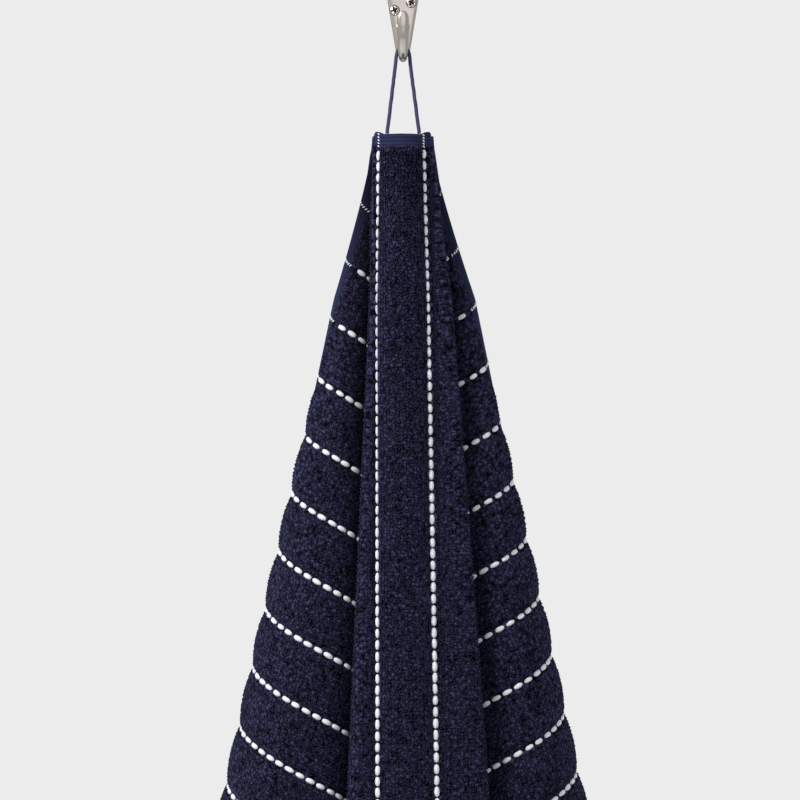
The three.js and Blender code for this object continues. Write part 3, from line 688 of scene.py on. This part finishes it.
def floats(name, face, material, rng):
    """All the floats of one face as one mesh: the unit float set on the cloth at every stripe and step."""
    stripes = (np.arange(STRIPES) - (STRIPES - 1) / 2) * PITCH
    steps = np.arange(HEM_WIDTH + FLOAT_FIRST, TOWEL_WIDTH - HEM_WIDTH - FLOAT_LAST, FLOAT_PITCH)
    s, d = np.meshgrid(stripes, steps, indexing="ij")
    d = d + rng.uniform(-FLOAT_JITTER, FLOAT_JITTER, d.shape)
    d = d + rng.uniform(-STRIPE_JITTER, STRIPE_JITTER, (STRIPES, 1))
    stitch = np.arange(HEM_STITCHES) * HEM_STITCH_PITCH + HEM_STITCH_FIRST
    hs, hd = np.meshgrid(stripes, np.concatenate([stitch, TOWEL_WIDTH - stitch]), indexing="ij")
    along, down = np.append(s, hs), np.append(d, hd)
    plain = np.append(np.ones(s.size, bool), np.zeros(hs.size, bool))
    size = lambda a, b: np.where(plain, a * rng.uniform(0.93, 1.07, along.size), b)[:, None, None]
    slant = rng.uniform(-FLOAT_TURN, FLOAT_TURN, s.size)
    slant = np.append(slant, np.full(hs.size, HEM_STITCH_TURN))[:, None, None]
    a, b, c = bead_shape()
    lengthwise = a * size(FLOAT_LONG, HEM_STITCH_LONG)
    crosswise = b * size(FLOAT_WIDE, HEM_STITCH_WIDE) * gathered(along, down)
    rise = c * size(FLOAT_HIGH, HEM_STITCH_HIGH)
    rise = rise - np.where(plain, FLOAT_SUNK, HEM_STITCH_SUNK)[:, None, None]
    x = lengthwise * np.cos(slant) - crosswise * np.sin(slant)
    y = lengthwise * np.sin(slant) + crosswise * np.cos(slant)
    centre, ahead, across, outward = (v[:, None, None] for v in on_cloth(along, down, face))
    points = centre + x[..., None] * ahead + y[..., None] * across + rise[..., None] * outward
    one = grid_faces(a.shape[1], a.shape[0])
    faces = (np.arange(along.size)[:, None, None] * a.size + one[None]).reshape(-1, 4)
    piece = make_piece(name, points.reshape(-1, 3), faces if face < 0 else faces[:, ::-1], material)
    thread = np.broadcast_to(np.stack([lengthwise, crosswise], axis=-1), points.shape[:3] + (2,))
    lay_flat(piece, thread[..., 0] + FLOATS_APART * np.arange(along.size)[:, None, None], thread[..., 1])
    # The floats carry the same painted valley shade, softened by a square root
    mark(piece, "painted_light_share", np.repeat(np.sqrt(painted_light_share(centre[:, 0, 0], place_at(along, down))), a.size))
    return piece


cotton = bpy.data.materials.new("white_float")
tree, shader, add = nodes_of(cotton)
shader.inputs["Roughness"].default_value = 0.85
shader.inputs["Sheen Weight"].default_value = 0.15
flat = add("ShaderNodeUVMap", uv_map="flat_cloth")
threads = add("ShaderNodeMapping", [(flat.outputs["UV"], "Vector")], Scale=(250, 2600, 1))
strand = add("ShaderNodeTexNoise", [(threads.outputs["Vector"], "Vector")], Scale=1.0, Detail=2.0)
white = add("ShaderNodeMix", [(strand.outputs["Fac"], "Factor")], data_type="RGBA", A=WHITE_LOW, B=WHITE_HIGH)
twist = add("ShaderNodeBump", [(strand.outputs["Fac"], "Height")], Strength=0.5, Distance=0.0004)
shade_colour(tree, shader, add, white.outputs["Result"])
tree.links.new(twist.outputs["Normal"], shader.inputs["Normal"])

front_floats = floats("stripe_floats_front", 1, cotton, np.random.default_rng(11))
back_floats = floats("stripe_floats_back", -1, cotton, np.random.default_rng(12))

# Pile. Loops of cotton yarn that stand close together on the bands and bend over in all directions. Where
# the towel turns to the room each is a small leaning tuft; on the hidden folds the cloth's relief stands in.
TUFT_APART, TUFT_LONG, TUFT_WIDE, TUFT_HIGH = 2.0, 2.8, 1.5, 1.4
TUFT_SIDES, TUFT_LEAN, TUFT_SUNK, TUFT_DYE = 6, 0.45, 0.25, 0.2
TUFT_RANKS, RANK_FIRST, RANK_TURN = 18, 3.2, 0.3
RANK_EDGE = 1.2 * RANK_FIRST
TUFT_JITTER, LEAST_JITTER, LEAST_SPREAD, GROOVE_CLEAR = 0.75, 0.15, 0.15, 0.9
# Bends where the front folds turn out of sight and the wings come into it; the tufts' height at some bends
FRONT_TO, HALF_WAY, WINGS_FROM = 2.4, 12, 24.1
TUFT_PLACES, TUFT_SHARES = [1.2, 2.2, 2.4, 24, 27.2, 28.6], [1, 0.6, 0.6, 1, 1, 0.4]


def looseness(along):
    """Nought in the ranks next to a stripe, rising to one a quarter of the way over the band."""
    return np.clip((from_stripe(along) - RANK_EDGE) / (PITCH / 4 - RANK_EDGE), 0, 1)


def tufts(name, along, down, high, close, material, rng):
    """Cones with oval feet, each leaned at random, and turned the freer the further it is from a stripe."""
    count = along.size
    ring = np.arange(TUFT_SIDES)
    turn = ring * 2 * np.pi / TUFT_SIDES
    spin = rng.uniform(-np.pi, np.pi, (count, 1)) * np.maximum(looseness(along), RANK_TURN)[:, None]
    size = rng.uniform(0.8, 1.2, (count, 1)) * close[:, None]
    lengthwise = TUFT_LONG / 2 * size * np.cos(turn)
    crosswise = TUFT_WIDE / 2 * size * np.sin(turn)
    lean = np.concatenate([lengthwise, TUFT_LEAN * size], axis=1)
    side = np.concatenate([crosswise, 0 * size], axis=1)
    peak = high[:, None] * rng.uniform(0.75, 1.2, (count, 1))
    rise = np.concatenate([0 * lengthwise - TUFT_SUNK, peak], axis=1)
    x = lean * np.cos(spin) - side * np.sin(spin)
    y = lean * np.sin(spin) + side * np.cos(spin)
    centre, ahead, across, outward = (v[:, None] for v in on_cloth(along, down, 1))
    points = centre + x[..., None] * ahead + y[..., None] * across + rise[..., None] * outward
    one = np.stack([ring, np.roll(ring, -1), 0 * ring + TUFT_SIDES], axis=1)
    faces = (np.arange(count)[:, None, None] * (TUFT_SIDES + 1) + one).reshape(-1, 3)
    piece = make_piece(name, points.reshape(-1, 3), faces, material)
    lay_flat(piece, along[:, None] + x * TUFT_DYE, down[:, None] + y * TUFT_DYE)
    mark(piece, "tuft_height", np.tile([0.0] * TUFT_SIDES + [1.0], count))
    # Painted valley shade for the tufts' colour
    mark(piece, "painted_light_share", np.repeat(painted_light_share(centre[:, 0], place_at(along, down)), TUFT_SIDES + 1))
    return piece


def spread(along, down):
    """Area that the hanging cloth gives to a square millimetre of flat cloth: small where it is gathered."""
    return np.linalg.norm(np.cross(*cloth_steps(along, down)), axis=-1) / (4 * CLOTH_STEP**2)


def pile_places(rng):
    """Ranks along every band, jittered away from the stripes; none in hems, grooves or hidden folds."""
    ranks = np.linspace(RANK_FIRST, PITCH - RANK_FIRST, TUFT_RANKS)
    bands = np.arange(STRIPES + 1) - (STRIPES + 1) / 2
    ranks = ((bands[:, None] * PITCH) + ranks).ravel()
    a, d = np.meshgrid(ranks, np.arange(HEM_WIDTH, TOWEL_WIDTH - HEM_WIDTH, TUFT_APART))
    a = (a + rng.uniform(-TUFT_JITTER, TUFT_JITTER, a.shape) * np.maximum(looseness(a), LEAST_JITTER)).ravel()
    d = (d + rng.uniform(-TUFT_JITTER, TUFT_JITTER, d.shape)).ravel()
    keep = (from_stripe(a) > GROOVE_WIDE + GROOVE_CLEAR) & (np.abs(a) < TOWEL_LENGTH / 2 - HEM_WIDTH)
    keep &= (d > 2 * HEM_WIDTH) | (np.abs(a) > 2 * PITCH) | ((a > 1 - left.strip) & (a < right.strip - 1))
    a, d = a[keep], d[keep]
    place = place_at(a, d)
    shown = (place < FRONT_TO) | (place > WINGS_FROM)
    close = np.sqrt(np.clip(spread(a, d), LEAST_SPREAD, 1))
    return a[shown], d[shown], place[shown], close[shown]


tuft_yarn = bpy.data.materials.new("navy_tufts")
tree, shader, add = nodes_of(tuft_yarn)
dull_navy(shader, 0.9)
# Colour from near black at each tuft's foot to light navy at its tip: painted shade down among the tufts and
# painted light on the tips
height = add("ShaderNodeAttribute", attribute_name="tuft_height")
light_tip = add("ShaderNodeMath", [(height.outputs["Fac"], 0)], operation="POWER")
light_tip.inputs[1].default_value = 3.0
flat = add("ShaderNodeUVMap", uv_map="flat_cloth")
cloud = add("ShaderNodeTexNoise", [(flat.outputs["UV"], "Vector")], Scale=160.0, Detail=3.0)
painted_shade_depth = add("ShaderNodeMix", [(light_tip.outputs[0], "Factor")], data_type="RGBA", A=NAVY_LOW, B=NAVY_HIGH)
worn = add("ShaderNodeMapRange", [(cloud.outputs["Fac"], "Value")], **{"To Min": 0.75, "To Max": 1.25})
both = [(painted_shade_depth.outputs["Result"], 0), (worn.outputs["Result"], 1)]
shaded_dye = add("ShaderNodeVectorMath", both, operation="MULTIPLY")
shade_colour(tree, shader, add, shaded_dye.outputs["Vector"])

rng = np.random.default_rng(5)
tuft_along, tuft_down, tuft_place, tuft_close = pile_places(rng)
tuft_high = TUFT_HIGH * tuft_close * np.interp(tuft_place, TUFT_PLACES, TUFT_SHARES)
on_wing = tuft_place > HALF_WAY
for name, chosen in (
    ("pile_front", ~on_wing),
    ("pile_left_wing", on_wing & (tuft_along < 0)),
    ("pile_right_wing", on_wing & (tuft_along > 0)),
):
    laid = (values[chosen] for values in (tuft_along, tuft_down, tuft_high, tuft_close))
    tufts(name, *laid, tuft_yarn, rng)

# Loop. A thin navy cord of three twisted strands, both ends sewn into the hem, led up over the hook's arm
# behind its prong. It is drawn tight by the towel's weight.
CORD_RADIUS, STRANDS, TURNS_PER_MM = 1.15, 3, 0.22
STRAND_VALLEY, STRAND_RISE = 0.93, 0.17
CORD_LOW, CORD_HIGH = (0.012, 0.013, 0.04, 1), (0.04, 0.044, 0.115, 1)
LOOP_ROUTE = [
    (-10.308, -36.099, -82.7),
    (-8.7, None, -70),
    (-7.1, None, -57),
    (-5.65, None, -45),
    (-4.75, None, -37.5),
    (-4.3, None, -33.2),
    (-3.2, None, -29.3),
    (0, -38.5, -27.95),
    (3.2, None, -29.3),
    (4.3, None, -33.2),
    (4.7, None, -37.5),
    (5.6, None, -45),
    (7.2, None, -57),
    (8.9, None, -70),
    (10.588, -35.199, -82.7),
]


def loop_route(count=140):
    """Smooth line through the route's points; where no depth is given it leans evenly from hem to top."""
    known = [i for i, row in enumerate(LOOP_ROUTE) if row[1] is not None]
    height = np.array([row[2] for row in LOOP_ROUTE])
    depth = np.empty(len(LOOP_ROUTE))
    for a, b in zip(known[:-1], known[1:]):
        share = (height[a : b + 1] - height[a]) / (height[b] - height[a])
        depth[a : b + 1] = LOOP_ROUTE[a][1] + (LOOP_ROUTE[b][1] - LOOP_ROUTE[a][1]) * share
    route = np.stack([[row[0] for row in LOOP_ROUTE], depth, height], axis=1)
    return smooth_line(route, count)


def cord_points(line, sides=18):
    """Section with a lobe to each strand, turning as it goes, carried along the line square to it and +Y."""
    ahead = np.gradient(line, axis=0)
    ahead /= np.linalg.norm(ahead, axis=1)[:, None]
    side = np.cross(ahead, (0.0, 1.0, 0.0))
    side /= np.linalg.norm(side, axis=1)[:, None]
    over = np.cross(side, ahead)
    run = np.concatenate([[0], np.cumsum(np.linalg.norm(np.diff(line, axis=0), axis=1))])[:, None]
    angle = np.linspace(0, 2 * np.pi, sides, endpoint=False)[None]
    lobe = np.abs(np.cos(STRANDS / 2 * (angle - 2 * np.pi * TURNS_PER_MM * run)))
    radius = CORD_RADIUS * (STRAND_VALLEY + STRAND_RISE * lobe)
    sideways, upward = (radius * np.cos(angle))[..., None], (radius * np.sin(angle))[..., None]
    ring = sideways * side[:, None] + upward * over[:, None]
    middle = line[:, None]
    points = np.concatenate([middle[:1] + 0 * ring[:1], middle + ring, middle[-1:] + 0 * ring[:1]])
    return points.reshape(-1, 3), grid_faces(sides, len(points), wrap=True), run


braid = bpy.data.materials.new("navy_cord")
tree, shader, add = nodes_of(braid)
shader.inputs["Roughness"].default_value = 0.8
shader.inputs["Sheen Weight"].default_value = 0.1
yarn = add("ShaderNodeTexCoord")
fibre = add("ShaderNodeTexNoise", [(yarn.outputs["Object"], "Vector")], Scale=1800.0, Detail=3.0)
dye = add("ShaderNodeMix", [(fibre.outputs["Fac"], "Factor")], data_type="RGBA", A=CORD_LOW, B=CORD_HIGH)
fuzz = add("ShaderNodeBump", [(fibre.outputs["Fac"], "Height")], Strength=0.4, Distance=0.0003)
tree.links.new(dye.outputs["Result"], shader.inputs["Base Color"])
tree.links.new(fuzz.outputs["Normal"], shader.inputs["Normal"])

route = loop_route()
cord, cord_quads, run = cord_points(route)
loop = make_piece("hanging_loop", cord, cord_quads, braid, weld=WELD)
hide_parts("loop")

# Studio. A pale floor well below the towel's corners and square soft lights: a strong one from the upper
# left, two broad ones from the front, a weak one from the right and one on each side near the wall. The
# surroundings are pale in the picture, dim as a light, and a middle grey where the metal mirrors them.
FLOOR_BELOW, FLOOR_REACH = 0.08, 2.2
FLOOR_PALE, PICTURE_PALE = (0.66, 0.66, 0.66, 1), (0.84, 0.84, 0.84, 1)
LIGHT_PALE, LIGHT_STRENGTH, MIRROR_GREY = (0.62, 0.63, 0.66, 1), 0.32, (0.43, 0.418, 0.406, 1)
floor_height = cad_box[0][2] - FLOOR_BELOW
corners = [(x * FLOOR_REACH, y * FLOOR_REACH, floor_height) for x, y in ((-1, -1), (1, -1), (1, 1), (-1, 1))]
floor_mesh = bpy.data.meshes.new("floor")
floor_mesh.from_pydata(corners, [], [(0, 1, 2, 3)])
floor = bpy.data.objects.new("floor", floor_mesh)
bpy.context.scene.collection.objects.link(floor)
pale = bpy.data.materials.new("pale_floor")
shader = nodes_of(pale)[1]
shader.inputs["Base Color"].default_value = FLOOR_PALE
shader.inputs["Roughness"].default_value = 0.9
floor_mesh.materials.append(pale)

world = bpy.data.worlds.new("surroundings")
bpy.context.scene.world = world
world.use_nodes = True
tree = world.node_tree
seen = tree.nodes["Background"]
seen.inputs["Color"].default_value = PICTURE_PALE
lit = tree.nodes.new("ShaderNodeBackground")
lit.inputs["Color"].default_value = LIGHT_PALE
lit.inputs["Strength"].default_value = LIGHT_STRENGTH
reflected = tree.nodes.new("ShaderNodeBackground")
reflected.inputs["Color"].default_value = MIRROR_GREY
ray = tree.nodes.new("ShaderNodeLightPath")
gleam = tree.nodes.new("ShaderNodeMixShader")
tree.links.new(ray.outputs["Is Glossy Ray"], gleam.inputs["Fac"])
tree.links.new(lit.outputs["Background"], gleam.inputs[1])
tree.links.new(reflected.outputs["Background"], gleam.inputs[2])
choose = tree.nodes.new("ShaderNodeMixShader")
tree.links.new(ray.outputs["Is Camera Ray"], choose.inputs["Fac"])
tree.links.new(gleam.outputs["Shader"], choose.inputs[1])
tree.links.new(seen.outputs["Background"], choose.inputs[2])
tree.links.new(choose.outputs["Shader"], tree.nodes["World Output"].inputs["Surface"])
bpy.context.scene.view_settings.view_transform = "Standard"


def soft_light(name, at, towards, size, watts, mirrored=True):
    """Square area light turned to face a point; one that isn't mirrored leaves no gleam on metal."""
    data = bpy.data.lights.new(name, "AREA")
    data.size = size
    data.energy = watts
    lamp = bpy.data.objects.new(name, data)
    lamp.location = at
    lamp.visible_camera = False
    lamp.visible_glossy = mirrored
    lamp.rotation_euler = (Vector(towards) - Vector(at)).to_track_quat("-Z", "Y").to_euler()
    bpy.context.scene.collection.objects.link(lamp)


soft_light("key", (-1.4, -1.3, 1.0), (0, 0, -0.4), 0.8, 58)
soft_light("front", (0.2, -3.2, 0.6), (0, 0, -0.2), 2.0, 7)
soft_light("front_soft", (0.35, -3.1, 0.3), (0, 0, -0.35), 1.7, 21, mirrored=False)
soft_light("fill", (1.5, -1.5, 0.5), (0, 0, -0.3), 1.2, 9, mirrored=False)
soft_light("wall_left", (-0.9, 0.35, -0.25), (0, 0, -0.35), 0.8, 3, mirrored=False)
soft_light("wall_right", (0.9, 0.35, -0.25), (0, 0, -0.35), 0.8, 4, mirrored=False)
